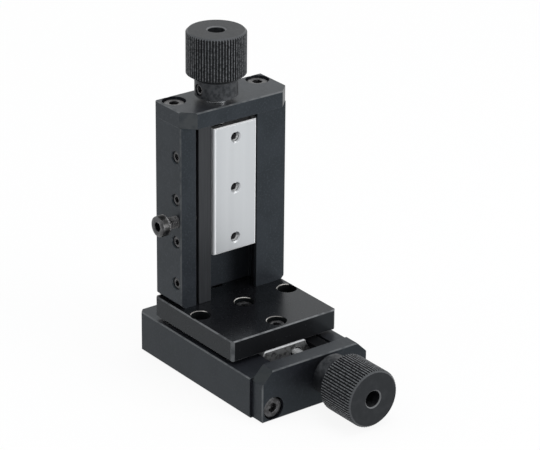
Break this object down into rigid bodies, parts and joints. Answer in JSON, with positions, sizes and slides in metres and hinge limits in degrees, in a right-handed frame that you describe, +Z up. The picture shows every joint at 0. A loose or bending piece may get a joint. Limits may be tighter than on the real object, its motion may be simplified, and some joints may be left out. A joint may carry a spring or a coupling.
{
  "type": "xz translation stage",
  "caption": "Two-axis dovetail translation stage: a knurled-knob slide carries a table, and an upright slide on the table gives the second axis.",
  "frame": {"origin": "the middle of the lower body's underside, on the plane through the lower carriage's middle; the column's carriage stands 0.7 mm to its +Y side", "axes": "+X along the lower slide's travel, towards its knob; +Z up, along the column's travel; +Y completes the frame, towards the lower slide's gib side"},
  "size_m": [0.0905, 0.0562, 0.1142],
  "materials": {
    "black_anodised": "matte black anodised, bead blasted",
    "knob_black": "matte black anodised, turned and knurled",
    "blackened_gib": "blackened steel, ground",
    "ground_carriage": "fine ground, satin",
    "bright_steel": "bright turned",
    "black_oxide_screws": "black oxide, slightly oily",
    "bronze": "plain bearing bronze"
  },
  "bodies": {
    "base": {"x_body": "black_anodised", "x_end_plate": "black_anodised", "x_end_plate_screws": "black_oxide_screws", "x_bush": "bronze", "x_gib": "blackened_gib", "x_gib_screws": "black_oxide_screws", "x_thrust_washer": "bright_steel"},
    "x_screw": {"x_feed_screw": "bright_steel", "x_knob": "knob_black", "x_knob_set_screw": "black_oxide_screws"},
    "x_clamp": {"x_clamp_screw": "black_oxide_screws"},
    "stage": {"x_carriage": "ground_carriage", "x_feed_nut": "bronze", "table": "black_anodised", "table_screws": "black_oxide_screws", "column_screws": "black_oxide_screws", "z_body": "black_anodised", "z_end_plate": "black_anodised", "z_end_plate_screws": "black_oxide_screws", "z_bush": "bronze", "z_gib": "blackened_gib", "z_gib_screws": "black_oxide_screws", "z_thrust_washer": "bright_steel"},
    "z_screw": {"z_feed_screw": "bright_steel", "z_knob": "knob_black", "z_knob_set_screw": "black_oxide_screws"},
    "z_clamp": {"z_clamp_screw": "black_oxide_screws"},
    "lift": {"z_carriage": "ground_carriage", "z_feed_nut": "bronze"}
  },
  "joints": [
    {"name": "x_knob_turn", "type": "hinge", "parent": "base", "child": "x_screw", "pos_m": [0.03075, 0.0047, 0.0108], "axis": [-1, 0, 0], "range_deg": [-3600, 5760]},
    {"name": "x_slide", "type": "slide", "parent": "base", "child": "stage", "axis": [1, 0, 0], "range_m": [-0.005, 0.008]},
    {"name": "x_clamp_turn", "type": "hinge", "parent": "base", "child": "x_clamp", "pos_m": [-0.0004, 0.021, 0.0115], "axis": [0, 1, 0], "range_deg": [-25, 180]},
    {"name": "z_knob_turn", "type": "hinge", "parent": "stage", "child": "z_screw", "pos_m": [-0.01195, -0.004, 0.0852], "axis": [0, 0, -1], "range_deg": [-9000, 360]},
    {"name": "z_slide", "type": "slide", "parent": "stage", "child": "lift", "axis": [0, 0, 1], "range_m": [-0.0125, 0.0005]},
    {"name": "z_clamp_turn", "type": "hinge", "parent": "stage", "child": "z_clamp", "pos_m": [-0.01125, -0.0203, 0.05255], "axis": [0, -1, 0], "range_deg": [-25, 180]}
  ],
  "couplings": [
    {"joint": "x_knob_turn", "follows": "x_slide", "rad_per_m": 12566},
    {"joint": "z_knob_turn", "follows": "z_slide", "rad_per_m": 12566}
  ]
}
